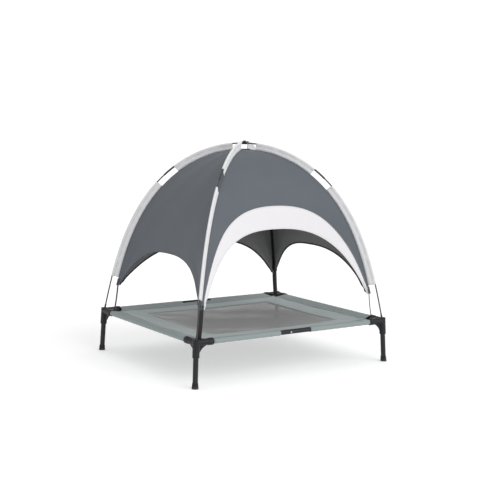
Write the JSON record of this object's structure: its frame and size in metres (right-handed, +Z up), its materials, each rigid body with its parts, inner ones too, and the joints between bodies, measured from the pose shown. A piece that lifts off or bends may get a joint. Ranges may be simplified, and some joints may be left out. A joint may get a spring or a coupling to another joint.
{
  "type": "dog bed with frame",
  "caption": "Raised cot-style dog bed: tube frame on splayed legs, sling deck with mesh centre, and a lift-off dome canopy on crossed arched poles with open arches.",
  "frame": {"origin": "centre of the bed's footprint on the floor, under the middle of the deck", "axes": "+Z up; +X to the right along the long rails; -Y out of the front arch, the one with the pale band"},
  "size_m": [0.7732, 0.6522, 0.741],
  "materials": {
    "bracket_plastic": "moulded black nylon, fine texture",
    "frame_tube": "black powder coat, satin",
    "foot_rubber": "black rubber",
    "deck_fabric": "grey-green woven polyester",
    "deck_mesh": "grey open-weave mesh",
    "canopy_fabric": "slate grey plain-weave polyester",
    "pale_fabric": "off-white plain-weave polyester",
    "fin_fabric": "pale grey plain-weave polyester",
    "strap_elastic": "black woven elastic",
    "pole_rod": "black fibreglass",
    "pole_fitting": "dark plated steel",
    "joiner_steel": "plain steel",
    "button_steel": "zinc plated steel"
  },
  "bodies": {
    "frame": {"corner_bracket_front_left": "bracket_plastic", "leg_tube_front_left": "frame_tube", "foot_cap_front_left": "foot_rubber", "corner_bracket_front_right": "bracket_plastic", "leg_tube_front_right": "frame_tube", "foot_cap_front_right": "foot_rubber", "corner_bracket_back_right": "bracket_plastic", "leg_tube_back_right": "frame_tube", "foot_cap_back_right": "foot_rubber", "corner_bracket_back_left": "bracket_plastic", "leg_tube_back_left": "frame_tube", "foot_cap_back_left": "foot_rubber", "side_rail_left": "frame_tube", "side_rail_right": "frame_tube", "front_rail_left": "frame_tube", "front_rail_right": "frame_tube", "back_rail_left": "frame_tube", "back_rail_right": "frame_tube", "front_rail_joiner": "joiner_steel", "back_rail_joiner": "joiner_steel", "deck_sling": "deck_fabric", "deck_mesh": "deck_mesh"},
    "canopy": {"pole_over_middle": "pole_rod", "pole_under_middle": "pole_rod", "crossing_clip": "bracket_plastic", "canopy_front": "canopy_fabric", "front_arch_band": "pale_fabric", "canopy_right": "canopy_fabric", "canopy_back": "canopy_fabric", "canopy_left": "canopy_fabric", "pole_over_front_left": "pole_rod", "pole_joint_front_left": "pole_fitting", "pole_tip_front_left": "pole_fitting", "upper_fin_front_left": "fin_fabric", "lower_fin_front_left": "fin_fabric", "corner_strap_front_left": "strap_elastic", "pole_under_front_right": "pole_rod", "pole_joint_front_right": "pole_fitting", "pole_tip_front_right": "pole_fitting", "upper_fin_front_right": "fin_fabric", "lower_fin_front_right": "fin_fabric", "corner_strap_front_right": "strap_elastic", "pole_over_back_right": "pole_rod", "pole_joint_back_right": "pole_fitting", "pole_tip_back_right": "pole_fitting", "upper_fin_back_right": "fin_fabric", "lower_fin_back_right": "fin_fabric", "corner_strap_back_right": "strap_elastic", "pole_under_back_left": "pole_rod", "pole_joint_back_left": "pole_fitting", "pole_tip_back_left": "pole_fitting", "upper_fin_back_left": "fin_fabric", "lower_fin_back_left": "fin_fabric", "corner_strap_back_left": "strap_elastic"},
    "front_button": {"front_snap_button": "button_steel"},
    "back_button": {"back_snap_button": "button_steel"}
  },
  "joints": [
    {"name": "canopy_lift", "type": "slide", "parent": "frame", "child": "canopy", "axis": [0, 0, 1], "range_m": [0, 0.12]},
    {"name": "front_button_press", "type": "slide", "parent": "frame", "child": "front_button", "axis": [0, 1, 0], "range_m": [0, 0.0028], "stiffness_N_per_m": 900},
    {"name": "back_button_press", "type": "slide", "parent": "frame", "child": "back_button", "axis": [0, -1, 0], "range_m": [0, 0.0028], "stiffness_N_per_m": 900}
  ]
}
